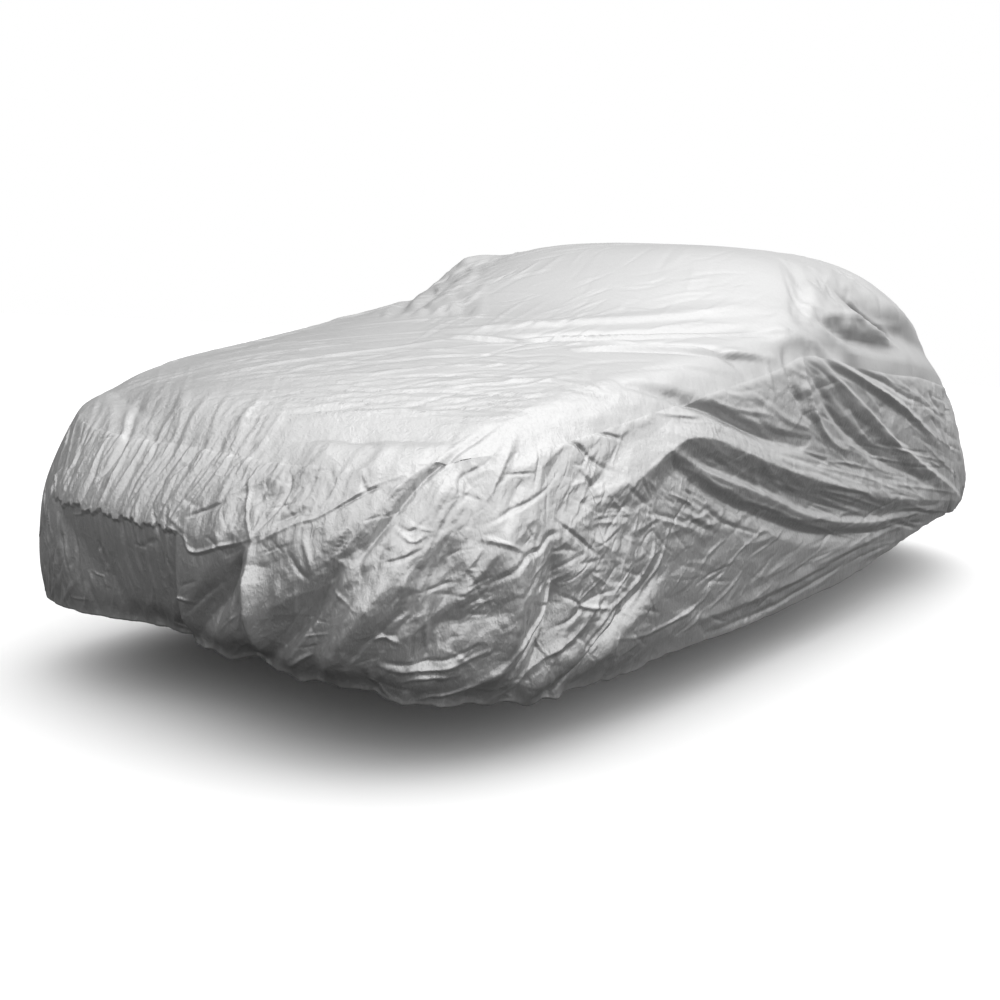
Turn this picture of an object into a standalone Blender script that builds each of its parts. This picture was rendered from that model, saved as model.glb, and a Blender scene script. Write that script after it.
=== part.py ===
"""A fitted outdoor cover of thin silver cloth, as it hangs in use: hollow, open underneath, and held up under its crown.

Three panels are sewn together: one over the top, and one down each side, which meet at a seam in the middle of the front
and of the back. Every panel is a sheet of its own with the true folds in it. Lengths are in metres, +Z is up, the front
is towards -Y and the near side towards +X. The origin is under the crown, where the cover is held up.
"""

from collections import namedtuple

import bmesh
import bpy
import numpy as np

# Driving sizes of the cover, in metres.
NOSE_Y = -2.35  # shoulder line at the middle of the front
TAIL_Y = 2.38  # shoulder line at the middle of the back
HALF_WIDTH = 0.855  # shoulder line at each side
FRONT_SQUARENESS = 4.8  # 2 would be an ellipse, and more is squarer
REAR_SQUARENESS = 3.1
CLOTH = 0.002  # thickness of the cloth with its coating
SEAM_GAP = 0.0006  # clear space between two panels at a seam
DROP = 0.80  # typical depth of a side panel, which scales the folds' second coordinate
SHOULDER_RADIUS = 0.09  # the cloth's bend over the shoulder
SHOULDER_SHARE = 0.93  # 1 would bend it till it hangs plumb
CROWN_Y = 0.40  # the sections are bowed away from here: towards the sides, a front one bends back and a rear one forward
FRONT_BOW = -0.30  # along the cover, from the middle of a section to its side
REAR_BOW = 0.22
BOW_START = 0.80  # from the crown to the first section with its whole bow
CROWN_EDGE = 0.74  # under 1 makes a section fuller towards its sides
HOLD_Y, HOLD_Z = 0.45, 1.444  # where the crown is held, over the ground and from mid length

# Facets: across the top, along it, and down a side panel. They are finer at the front, where more folds run downwards.
ACROSS, ALONG, DOWN = 18, 46, 22
FRONT_FINENESS = 0.75  # length of a facet at the front, as a share of an even one

# One row for each section along the cover. Heights are over the ground: crown in the middle, shoulder at the seam and hem
# at the lower edge. Fullness says how flat the top of the section is, and flare how far its side stands out of the shoulder.
Section = namedtuple("Section", "y crown shoulder fullness hem flare")
SECTIONS = [
    Section(-2.35, 0.780, 0.775, 2.6, 0.236, 0.074),
    Section(-2.27, 0.830, 0.800, 2.6, 0.206, 0.073),
    Section(-2.10, 0.895, 0.838, 2.7, 0.178, 0.071),
    Section(-1.70, 0.996, 0.922, 2.8, 0.170, 0.066),
    Section(-1.30, 1.082, 0.988, 2.9, 0.200, 0.062),
    Section(-0.95, 1.162, 1.040, 3.2, 0.196, 0.058),
    Section(-0.60, 1.296, 1.087, 3.4, 0.198, 0.054),
    Section(-0.33, 1.383, 1.112, 3.5, 0.206, 0.053),
    Section(0.05, 1.432, 1.090, 3.6, 0.218, 0.054),
    Section(0.50, 1.450, 1.060, 3.5, 0.264, 0.060),
    Section(0.95, 1.458, 1.042, 2.9, 0.310, 0.068),
    Section(1.40, 1.404, 1.005, 2.1, 0.343, 0.095),
    Section(1.75, 1.262, 0.985, 1.7, 0.356, 0.132),
    Section(2.05, 1.088, 0.962, 1.6, 0.358, 0.160),
    Section(2.25, 0.975, 0.935, 1.8, 0.355, 0.176),
    Section(2.38, 0.910, 0.910, 2.0, 0.351, 0.185),
]

# How far a side panel stands out of the shoulder on its way down, as a share of the flare.
Stage = namedtuple("Stage", "down front rear")
STAGES = [
    Stage(0.00, 0.00, 0.00),
    Stage(0.10, 0.40, 0.16),
    Stage(0.30, 0.75, 0.45),
    Stage(0.60, 1.00, 0.85),
    Stage(0.85, 0.95, 1.00),
    Stage(1.00, 0.75, 1.00),
]

# A point that holds the cloth up from inside, at each side of the front slope.
Peak = namedtuple("Peak", "x y height across along")
PEAKS = [
    Peak(-0.76, -0.24, 0.095, 0.14, 0.18),
    Peak(0.83, -0.50, 0.025, 0.10, 0.14),
]

# Folds run through three points. On the top a point is (x, y), and on a side panel it is (metres along the shoulder from
# the front seam, share of the way down). Height is positive for a ridge and negative for a trough, and width is the
# distance from the fold's line to its foot.
Fold = namedtuple("Fold", "a0 b0 a1 b1 a2 b2 height width")
TOP_FOLDS = [
    Fold(0.25, -1.50, 0.55, -1.10, 0.80, -0.62, -0.022, 0.070),
    Fold(0.12, -1.42, 0.43, -1.00, 0.68, -0.55, 0.012, 0.080),
    Fold(0.57, -1.25, 0.70, -1.10, 0.84, -0.92, -0.020, 0.060),
    Fold(-0.30, -1.20, -0.52, -0.92, -0.80, -0.50, -0.020, 0.060),
    Fold(0.72, 0.05, 0.79, 0.80, 0.72, 1.55, -0.052, 0.140),
    Fold(-0.72, 0.05, -0.79, 0.80, -0.72, 1.55, -0.052, 0.140),
    Fold(0.80, -0.42, 0.68, -0.15, 0.55, 0.05, -0.016, 0.070),
    Fold(-0.55, 1.78, 0.00, 1.92, 0.55, 1.78, -0.020, 0.100),
]
SWOOPS = [
    Fold(2.50, 0.02, 3.00, 0.13, 4.05, 0.30, 0.024, 0.070),
    Fold(2.55, 0.07, 3.10, 0.21, 3.80, 0.36, -0.024, 0.070),
    Fold(2.45, 0.03, 3.25, 0.34, 4.55, 0.91, 0.030, 0.070),
    Fold(2.50, 0.14, 3.25, 0.47, 4.55, 0.92, -0.032, 0.090),
    Fold(1.42, 0.20, 2.50, 0.50, 4.55, 0.93, 0.042, 0.075),
    Fold(1.37, 0.01, 1.85, 0.22, 2.60, 0.42, -0.036, 0.085),
    Fold(1.50, 0.25, 2.50, 0.57, 4.20, 0.88, -0.040, 0.080),
    Fold(1.42, 0.21, 2.25, 0.57, 4.10, 0.90, 0.032, 0.070),
    Fold(1.50, 0.30, 2.25, 0.65, 3.40, 0.83, -0.034, 0.080),
    Fold(1.60, 0.90, 2.30, 0.85, 3.00, 0.80, 0.022, 0.080),
    Fold(1.15, 0.29, 1.30, 0.21, 1.45, 0.19, 0.020, 0.070),
    Fold(2.20, 0.06, 2.28, 0.15, 2.38, 0.25, -0.030, 0.100),
]
CORNER_FOLDS = [
    Fold(0.72, 0.00, 0.60, 0.24, 0.50, 0.42, -0.034, 0.070),
    Fold(0.50, 0.40, 0.43, 0.68, 0.30, 1.00, -0.055, 0.085),
    Fold(0.62, 0.38, 0.54, 0.68, 0.47, 1.00, 0.040, 0.080),
    Fold(0.33, 0.48, 0.33, 0.70, 0.33, 0.95, 0.036, 0.080),
    Fold(0.28, 0.40, 0.22, 0.64, 0.08, 0.96, -0.036, 0.080),
    Fold(0.72, 0.30, 0.70, 0.62, 0.64, 0.97, -0.030, 0.070),
    Fold(0.82, 0.25, 0.86, 0.62, 0.80, 0.98, 0.036, 0.090),
    Fold(0.98, 0.40, 0.99, 0.62, 0.91, 0.98, -0.040, 0.080),
    Fold(1.44, 0.60, 1.22, 0.76, 1.02, 0.99, -0.045, 0.075),
    Fold(1.38, 0.52, 1.14, 0.76, 0.98, 0.96, 0.036, 0.070),
]
FRONT_LEFT_FOLDS = [
    Fold(-0.52, 0.40, -0.25, 0.38, 0.00, 0.38, 0.014, 0.060),
    Fold(-0.52, 0.54, -0.25, 0.50, -0.02, 0.50, -0.024, 0.090),
    Fold(-0.92, 0.15, -0.86, 0.50, -0.84, 0.95, 0.020, 0.070),
    Fold(-1.05, 0.10, -1.00, 0.50, -0.98, 0.95, -0.024, 0.080),
]
REAR_FOLDS = [
    Fold(5.05, 0.10, 5.10, 0.50, 5.16, 0.98, -0.026, 0.090),
    Fold(5.30, 0.20, 5.34, 0.60, 5.33, 0.98, 0.020, 0.080),
    Fold(5.55, 0.12, 5.52, 0.50, 5.56, 0.98, -0.022, 0.090),
]


def eased(x):
    """0 up to 0, 1 from 1, and a smooth step between them."""
    x = np.clip(x, 0, 1)
    return x * x * (3 - 2 * x)


def along(rows, key, value, x):
    """A smooth curve through one column of a table, read at x."""
    knots = np.array([getattr(row, key) for row in rows])
    values = np.array([getattr(row, value) for row in rows])
    step = np.diff(knots)
    rise = np.diff(values) / step
    slope = np.concatenate([rise[:1], (step[1:] * rise[:-1] + step[:-1] * rise[1:]) / (step[1:] + step[:-1]), rise[-1:]])
    x = np.clip(x, knots[0], knots[-1])
    i = np.clip(np.searchsorted(knots, x, side="right") - 1, 0, len(knots) - 2)
    f = (x - knots[i]) / step[i]
    start = (2 * f**3 - 3 * f**2 + 1) * values[i] + (f**3 - 2 * f**2 + f) * step[i] * slope[i]
    return start + (3 * f**2 - 2 * f**3) * values[i + 1] + (f**3 - f**2) * step[i] * slope[i + 1]


def section(value, y):
    return along(SECTIONS, "y", value, y)


def outline_shape(v):
    """Length and squareness of the half of the plan that v is in."""
    return np.where(v < 0, -NOSE_Y, TAIL_Y), np.where(v < 0, FRONT_SQUARENESS, REAR_SQUARENESS)


def top_point(u, v):
    """Point of the top for u across and v along, both from -1 to 1. The square's rim is the shoulder line."""
    length, squareness = outline_shape(v)
    reach = np.maximum(abs(u), abs(v))
    norm = np.maximum((abs(u) ** squareness + abs(v) ** squareness) ** (1 / squareness), 1e-9)
    x = HALF_WIDTH * u * reach / norm
    y = length * v * reach / norm
    width = HALF_WIDTH * np.maximum(1 - np.clip(abs(y / length), 0, 1) ** squareness, 1e-9) ** (1 / squareness)
    side = np.clip(abs(x) / width, 0, 1)
    bowed = y + np.where(y < CROWN_Y, FRONT_BOW, REAR_BOW) * side**2 * eased(abs(y - CROWN_Y) / BOW_START)
    shoulder = section("shoulder", y)
    z = shoulder + (section("crown", bowed) - shoulder) * (1 - side ** section("fullness", y)) ** CROWN_EDGE
    slope = np.hypot((abs(x) / HALF_WIDTH) ** (squareness - 1) / HALF_WIDTH, (abs(y) / length) ** (squareness - 1) / length)
    from_rim = (1 - reach) * np.maximum(reach, 1e-3) ** (squareness - 1) / np.maximum(slope, 1e-9)
    bend = SHOULDER_SHARE * np.clip(1 - from_rim / SHOULDER_RADIUS, 0, 1)
    z = z - SHOULDER_RADIUS * (1 - np.sqrt(1 - bend**2))
    for peak in PEAKS:
        z = z + peak.height * np.exp(-(((x - peak.x) / peak.across) ** 2) - ((y - peak.y) / peak.along) ** 2)
    return np.stack([x, y, z], -1)


def side_point(u, v, down):
    """Point of a side panel under the shoulder point (u, v), where down is 0 at the shoulder and 1 at the hem."""
    shoulder = top_point(u, v)
    x, y, z = shoulder[..., 0], shoulder[..., 1], shoulder[..., 2]
    length, squareness = outline_shape(v)
    nx = np.sign(x) * abs(x / HALF_WIDTH) ** (squareness - 1) / HALF_WIDTH
    ny = np.sign(y) * abs(y / length) ** (squareness - 1) / length
    norm = np.hypot(nx, ny)
    rear = eased(y - 0.8)
    share = along(STAGES, "down", "front", down) * (1 - rear) + along(STAGES, "down", "rear", down) * rear
    far_corner = np.exp(-(((x + 0.75) / 0.35) ** 2) - ((y + 2.25) / 0.25) ** 2)
    out = share * section("flare", y) + 0.03 * far_corner * eased(down / 0.5)
    z = z + (section("hem", y) - z) * down + 0.03 * far_corner * down
    return np.stack([x + nx / norm * out, y + ny / norm * out, z], -1)


def fold_height(a, b, folds, scale=1.0):
    """How far the folds lift the cloth at (a, b). Where b is a share of the drop, scale turns it into metres."""
    lift = np.zeros_like(a)
    f = np.linspace(0, 1, 121)
    for fold in folds:
        bend_a = 2 * fold.a1 - (fold.a0 + fold.a2) / 2
        bend_b = 2 * fold.b1 - (fold.b0 + fold.b2) / 2
        line_a = (1 - f) ** 2 * fold.a0 + 2 * f * (1 - f) * bend_a + f**2 * fold.a2
        line_b = (1 - f) ** 2 * fold.b0 + 2 * f * (1 - f) * bend_b + f**2 * fold.b2
        distance = np.hypot(a[..., None] - line_a, (b[..., None] - line_b) * scale)
        nearest = distance.argmin(-1)
        fade = np.sin(np.pi * (0.08 + 0.84 * f[nearest])) ** 0.6
        lift += fold.height * fade * (1 - eased(distance.min(-1) / fold.width))
    return lift


def mirrored(folds, shift, strength):
    """The same folds on the other side, a little further back and softer, as that side hangs by itself."""
    return [f._replace(a0=-f.a0 - shift, a1=-f.a1 - shift, a2=-f.a2 - shift, height=f.height * strength) for f in folds]


def rim_of_square():
    """Grid place on the top of each shoulder point, once round from the front seam by way of +X."""
    places = [(i, 0) for i in range(ACROSS // 2, ACROSS)] + [(ACROSS, j) for j in range(ALONG)]
    places += [(i, ALONG) for i in range(ACROSS, 0, -1)] + [(0, j) for j in range(ALONG, 0, -1)]
    places += [(i, 0) for i in range(ACROSS // 2)]
    return places


def triangles_of(grid, lift):
    """Two triangles for each cell of a grid of point numbers. Each cell is split along the folds, where they change least."""
    a, b, c, d = grid[:-1, :-1], grid[1:, :-1], grid[1:, 1:], grid[:-1, 1:]
    first = abs(lift[a] - lift[c]) <= abs(lift[b] - lift[d])
    third = np.where(first, c, d)
    one = np.stack([a, b, third], -1)
    other = np.stack([np.where(first, a, b), c, d], -1)
    return np.concatenate([one.reshape(-1, 3), other.reshape(-1, 3)])


def point_normals(points, triangles):
    corners = points[triangles]
    face = np.cross(corners[:, 1] - corners[:, 0], corners[:, 2] - corners[:, 0])
    normals = np.zeros_like(points)
    for k in range(3):
        np.add.at(normals, triangles[:, k], face)
    return normals / np.linalg.norm(normals, axis=1, keepdims=True)


def whole_skin():
    """Points of the whole cover with its folds, their normals, and each panel's triangles and grid of point numbers."""
    even = np.linspace(0, 1, ALONG + 1)
    shares = even * (FRONT_FINENESS + (1 - FRONT_FINENESS) * even)
    u, v = np.meshgrid(np.linspace(-1, 1, ACROSS + 1), 2 * shares - 1, indexing="ij")
    top = top_point(u, v)
    top_grid = np.arange(u.size).reshape(u.shape)
    places = rim_of_square()
    rim_u = np.array([u[p] for p in places])
    rim_v = np.array([v[p] for p in places])
    down = np.linspace(0, 1, DOWN + 1)
    sides = side_point(rim_u[:, None] + 0 * down, rim_v[:, None] + 0 * down, down + 0 * rim_u[:, None])
    side_grid = np.empty(sides.shape[:2], int)
    side_grid[:, 0] = [top_grid[p] for p in places]
    side_grid[:, 1:] = top_grid.size + np.arange(len(places) * DOWN).reshape(len(places), DOWN)
    points = np.concatenate([top.reshape(-1, 3), sides[:, 1:].reshape(-1, 3)])

    half = len(places) // 2
    shoulder = top_point(rim_u, rim_v)[:, :2]
    steps = np.linalg.norm(np.diff(shoulder, axis=0, append=shoulder[:1]), axis=1)
    run = np.concatenate([[0], np.cumsum(steps)[:-1]])
    run = np.where(np.arange(len(places)) > half, run - steps.sum(), run)
    grids = {
        "top_panel": top_grid,
        "side_panel_right": side_grid[: half + 1][::-1],
        "side_panel_left": np.concatenate([side_grid[half:], side_grid[:1]])[::-1],
    }
    left = mirrored(SWOOPS, 0.10, 0.8) + mirrored(CORNER_FOLDS[5:], 0.25, 0.7) + mirrored(REAR_FOLDS, 0.05, 1.0)
    side_folds = SWOOPS + CORNER_FOLDS + FRONT_LEFT_FOLDS + REAR_FOLDS + left
    lift_top = fold_height(top[..., 0], top[..., 1], TOP_FOLDS)
    lift_side = fold_height(run[:, None] + 0 * down, down + 0 * run[:, None], side_folds, DROP)
    lift = np.zeros(len(points))
    lift[top_grid] = lift_top
    lift[side_grid[:, 1:]] = lift_side[:, 1:]
    lift[side_grid[:, 0]] = (lift_side[:, 0] + lift[side_grid[:, 0]]) / 2
    triangles = {name: triangles_of(grid, lift) for name, grid in grids.items()}
    everything = np.concatenate(list(triangles.values()))
    points = points + point_normals(points, everything) * lift[:, None] - np.array([0, HOLD_Y, HOLD_Z])
    return points, point_normals(points, everything), triangles, grids


def seam_nudges(grid, points, open_edge):
    """The small step that each seam point of a panel takes into its own panel, which leaves the gap between panels."""
    nudges = np.zeros_like(points)
    rows = [(grid[0], grid[1]), (grid[-1], grid[-2]), (grid[:, 0], grid[:, 1])]
    if not open_edge:
        rows.append((grid[:, -1], grid[:, -2]))
    for rim, inner in rows:
        line = np.gradient(points[rim], axis=0)
        line /= np.linalg.norm(line, axis=1, keepdims=True)
        way = points[inner] - points[rim]
        way -= line * (way * line).sum(1, keepdims=True)
        nudges[rim] += way / np.linalg.norm(way, axis=1, keepdims=True) * SEAM_GAP / 2
    return nudges


def sheet_object(name, grid, triangles, points, normals, material):
    """A closed sheet of cloth: the panel's outer face, its inner face a cloth's thickness inside it, and its four edges."""
    nudged = points + seam_nudges(grid, points, open_edge=name != "top_panel")
    used = grid.reshape(-1)
    place = {number: k for k, number in enumerate(used)}
    bm = bmesh.new()
    outer = [bm.verts.new(nudged[n]) for n in used]
    inner = [bm.verts.new(nudged[n] - normals[n] * CLOTH) for n in used]
    for triangle in triangles:
        a, b, c = (place[n] for n in triangle)
        bm.faces.new((outer[a], outer[b], outer[c]))
        bm.faces.new((inner[c], inner[b], inner[a]))
    edge = [*grid[:, 0], *grid[-1, 1:], *grid[-2::-1, -1], *grid[0, -2:0:-1]]
    for m, n in zip(edge, edge[1:] + edge[:1]):
        a, b = place[m], place[n]
        if m < n:  # both panels of a seam split its edge along the same diagonal
            bm.faces.new((outer[b], outer[a], inner[b]))
            bm.faces.new((outer[a], inner[a], inner[b]))
        else:
            bm.faces.new((outer[b], outer[a], inner[a]))
            bm.faces.new((outer[b], inner[a], inner[b]))
    mesh = bpy.data.meshes.new(name)
    bm.to_mesh(mesh)
    bm.free()
    mesh.shade_smooth()
    mesh.materials.append(material)
    panel = bpy.data.objects.new(name, mesh)
    bpy.context.scene.collection.objects.link(panel)
    return panel


def silver_cloth():
    material = bpy.data.materials.new("silver_cloth")
    material.use_nodes = True
    shader = material.node_tree.nodes["Principled BSDF"]
    shader.inputs["Base Color"].default_value = (0.62, 0.63, 0.64, 1)
    shader.inputs["Metallic"].default_value = 0.55
    shader.inputs["Roughness"].default_value = 0.42
    return material


def main():
    for old in list(bpy.data.objects):
        bpy.data.objects.remove(old)
    points, normals, triangles, grids = whole_skin()
    material = silver_cloth()
    for name, grid in grids.items():
        sheet_object(name, grid, triangles[name], points, normals, material)


main()
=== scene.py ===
# %% [markdown]
# # A fitted outdoor cover, draped
#
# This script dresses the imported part. The real thing is a thin woven cloth with a silver coating, cut as one panel
# for the top and one for each side, sewn together along the shoulder and drawn in at the hem by an elastic. The cloth
# is one closed form seen from far away and a field of folds seen from near by. So the script first makes the smooth
# form, then lays folds on it from large to small, and last gives it the coating's finish.

# %% Load the frame
from collections import namedtuple

import bpy
import numpy as np
from mathutils import Matrix, Vector
from mathutils.bvhtree import BVHTree
from mathutils.geometry import delaunay_2d_cdt


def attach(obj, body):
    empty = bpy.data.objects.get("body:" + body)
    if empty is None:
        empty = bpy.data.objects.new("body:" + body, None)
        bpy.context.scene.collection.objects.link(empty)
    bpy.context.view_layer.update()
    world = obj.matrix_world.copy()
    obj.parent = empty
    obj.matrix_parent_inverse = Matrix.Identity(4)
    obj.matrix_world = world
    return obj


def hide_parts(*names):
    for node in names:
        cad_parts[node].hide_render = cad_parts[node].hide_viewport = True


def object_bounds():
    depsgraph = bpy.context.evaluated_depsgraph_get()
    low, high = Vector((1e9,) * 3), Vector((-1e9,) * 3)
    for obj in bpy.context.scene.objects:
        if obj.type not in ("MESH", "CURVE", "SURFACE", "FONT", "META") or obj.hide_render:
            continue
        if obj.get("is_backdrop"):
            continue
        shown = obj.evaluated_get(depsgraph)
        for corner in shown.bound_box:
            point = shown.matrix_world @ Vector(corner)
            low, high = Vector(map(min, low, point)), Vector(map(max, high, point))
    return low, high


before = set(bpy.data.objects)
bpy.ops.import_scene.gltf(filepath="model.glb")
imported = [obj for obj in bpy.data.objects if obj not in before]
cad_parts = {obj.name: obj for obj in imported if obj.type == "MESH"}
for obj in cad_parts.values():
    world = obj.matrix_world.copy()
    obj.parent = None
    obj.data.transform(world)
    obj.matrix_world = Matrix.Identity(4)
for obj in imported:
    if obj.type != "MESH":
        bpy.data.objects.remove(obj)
solid_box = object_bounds()
print("nodes", sorted(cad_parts), "box", solid_box)

# %% [markdown]
# ## The smooth form
#
# A maker would describe the form by sections along its length: how high the crown is, where the shoulder seam runs,
# where the hem hangs and how far the side stands out. A table with one row for each section says just that, and a
# smooth curve through each column fills in what lies between. The sizes are those of the solids, in metres, with
# heights over the ground. The origin of the part is under the crown, so the ground lies at minus HOLD_Z.

# %% Sections of the cover
NOSE_Y = -2.35
TAIL_Y = 2.38
HALF_WIDTH = 0.855
FRONT_SQUARENESS = 4.8
REAR_SQUARENESS = 3.1
SHOULDER_RADIUS = 0.12
SHOULDER_SHARE, FRONT_SHARE, FRONT_SHARE_Y, FRONT_SHARE_RAMP = 0.93, 0.78, -1.9, 0.3
CROWN_Y = 0.40
FRONT_BOW, REAR_BOW, BOW_START = -0.30, 0.22, 0.80
CROWN_EDGE = 0.74
REAR_STAGES_Y = 0.8
FAR_CORNER_X, FAR_CORNER_Y, FAR_CORNER_SWELL = -0.75, -2.25, 0.03
FAR_CORNER_ACROSS, FAR_CORNER_ALONG = 0.35, 0.25
DROP = 0.80
HOLD_Y, HOLD_Z = 0.45, 1.444
HOLD = np.array([0, HOLD_Y, HOLD_Z])

Section = namedtuple("Section", "y crown shoulder fullness hem flare")
SECTIONS = [
    Section(-2.35, 0.780, 0.775, 2.6, 0.236, 0.074),
    Section(-2.27, 0.830, 0.800, 2.6, 0.206, 0.073),
    Section(-2.10, 0.895, 0.838, 2.7, 0.178, 0.071),
    Section(-1.70, 0.996, 0.922, 2.8, 0.170, 0.066),
    Section(-1.30, 1.082, 0.988, 2.9, 0.200, 0.062),
    Section(-0.95, 1.162, 1.040, 3.2, 0.196, 0.058),
    Section(-0.60, 1.296, 1.087, 3.4, 0.198, 0.054),
    Section(-0.33, 1.383, 1.112, 3.5, 0.206, 0.053),
    Section(0.05, 1.432, 1.090, 3.6, 0.218, 0.054),
    Section(0.50, 1.450, 1.060, 3.5, 0.264, 0.060),
    Section(0.95, 1.458, 1.042, 2.9, 0.310, 0.068),
    Section(1.40, 1.404, 1.005, 2.1, 0.343, 0.095),
    Section(1.75, 1.262, 0.985, 1.7, 0.356, 0.132),
    Section(2.05, 1.088, 0.962, 1.6, 0.358, 0.160),
    Section(2.25, 0.975, 0.935, 1.8, 0.355, 0.176),
    Section(2.38, 0.910, 0.910, 2.0, 0.351, 0.185),
]

Stage = namedtuple("Stage", "down front rear")
STAGES = [
    Stage(0.00, 0.00, 0.00),
    Stage(0.10, 0.32, 0.16),
    Stage(0.30, 0.74, 0.45),
    Stage(0.60, 1.00, 0.85),
    Stage(0.85, 0.95, 1.00),
    Stage(1.00, 0.75, 1.00),
]

Peak = namedtuple("Peak", "x y height across along")
PEAKS = [
    Peak(-0.76, -0.24, 0.095, 0.14, 0.18),
    Peak(0.83, -0.50, 0.025, 0.10, 0.14),
]


def eased(x):
    """0 up to 0, 1 from 1, and a smooth step between them."""
    x = np.clip(x, 0, 1)
    return x * x * (3 - 2 * x)


def window(x, start, rise, end, fall):
    """0 up to start and from end, 1 between them, with smooth steps as long as rise and fall."""
    return eased((x - start) / rise) * eased((end - x) / fall)


def along(rows, key, value, x):
    """A smooth curve through one column of a table, read at x."""
    knots = np.array([getattr(row, key) for row in rows])
    values = np.array([getattr(row, value) for row in rows])
    step = np.diff(knots)
    rise = np.diff(values) / step
    inner = (step[1:] * rise[:-1] + step[:-1] * rise[1:]) / (step[1:] + step[:-1])
    slope = np.concatenate([rise[:1], inner, rise[-1:]])
    x = np.clip(x, knots[0], knots[-1])
    i = np.clip(np.searchsorted(knots, x, side="right") - 1, 0, len(knots) - 2)
    f = (x - knots[i]) / step[i]
    start = (2 * f**3 - 3 * f**2 + 1) * values[i] + (f**3 - 2 * f**2 + f) * step[i] * slope[i]
    return start + (3 * f**2 - 2 * f**3) * values[i + 1] + (f**3 - f**2) * step[i] * slope[i + 1]


def section(value, y):
    return along(SECTIONS, "y", value, y)


def top_point(u, v):
    """Point of the top for u across and v along, both from -1 to 1. The square's rim is the shoulder seam."""
    length = np.where(v < 0, -NOSE_Y, TAIL_Y)
    squareness = np.where(v < 0, FRONT_SQUARENESS, REAR_SQUARENESS)
    reach = np.maximum(abs(u), abs(v))
    norm = np.maximum((abs(u) ** squareness + abs(v) ** squareness) ** (1 / squareness), 1e-9)
    x = HALF_WIDTH * u * reach / norm
    y = length * v * reach / norm
    width = HALF_WIDTH * np.maximum(1 - np.clip(abs(y / length), 0, 1) ** squareness, 1e-9) ** (1 / squareness)
    side = np.clip(abs(x) / width, 0, 1)
    bowed = y + np.where(y < CROWN_Y, FRONT_BOW, REAR_BOW) * side**2 * eased(abs(y - CROWN_Y) / BOW_START)
    shoulder = section("shoulder", y)
    z = shoulder + (section("crown", bowed) - shoulder) * (1 - side ** section("fullness", y)) ** CROWN_EDGE
    power = squareness - 1
    slope = np.hypot((abs(x) / HALF_WIDTH) ** power / HALF_WIDTH, (abs(y) / length) ** power / length)
    from_rim = (1 - reach) * np.maximum(reach, 1e-3) ** power / np.maximum(slope, 1e-9)
    share = SHOULDER_SHARE + (FRONT_SHARE - SHOULDER_SHARE) * eased((FRONT_SHARE_Y - y) / FRONT_SHARE_RAMP)
    bend = share * np.clip(1 - from_rim / SHOULDER_RADIUS, 0, 1)
    z = z - SHOULDER_RADIUS * (1 - np.sqrt(1 - bend**2))
    for peak in PEAKS:
        z = z + peak.height * np.exp(-(((x - peak.x) / peak.across) ** 2) - ((y - peak.y) / peak.along) ** 2)
    return np.stack([x, y, z], -1)


def side_point(u, v, down):
    """Point of a side panel under the shoulder point (u, v), where down is 0 at the shoulder and 1 at the hem."""
    shoulder = top_point(u, v)
    x, y, z = shoulder[..., 0], shoulder[..., 1], shoulder[..., 2]
    length = np.where(v < 0, -NOSE_Y, TAIL_Y)
    squareness = np.where(v < 0, FRONT_SQUARENESS, REAR_SQUARENESS)
    nx = np.sign(x) * abs(x / HALF_WIDTH) ** (squareness - 1) / HALF_WIDTH
    ny = np.sign(y) * abs(y / length) ** (squareness - 1) / length
    norm = np.hypot(nx, ny)
    rear = eased(y - REAR_STAGES_Y)
    share = along(STAGES, "down", "front", down) * (1 - rear) + along(STAGES, "down", "rear", down) * rear
    across, along_it = (x - FAR_CORNER_X) / FAR_CORNER_ACROSS, (y - FAR_CORNER_Y) / FAR_CORNER_ALONG
    swell = FAR_CORNER_SWELL * np.exp(-(across**2) - along_it**2)
    out = share * section("flare", y) + swell * eased(down / 0.5)
    z = z + (section("hem", y) - z) * down + swell * down
    return np.stack([x + nx / norm * out, y + ny / norm * out, z], -1)


# %% [markdown]
# ## One skin for three panels
#
# A grid of points is the easiest mesh to lay folds on, since its rows and columns say where each point is on the
# cloth. The top is one grid, and the side is a second grid that hangs from the rim of the first. Both share the
# points of the seam, so a fold may run across it and the panels still meet. The grid is finer at the front, where the
# folds are fine.

# %% Grids of the skin
ACROSS, ALONG, DOWN = 240, 400, 200
FRONT_FINENESS = 0.62
FINE_RUN = 1.6

Skin = namedtuple("Skin", "points top side run down rim_u rim_v between half")


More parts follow.
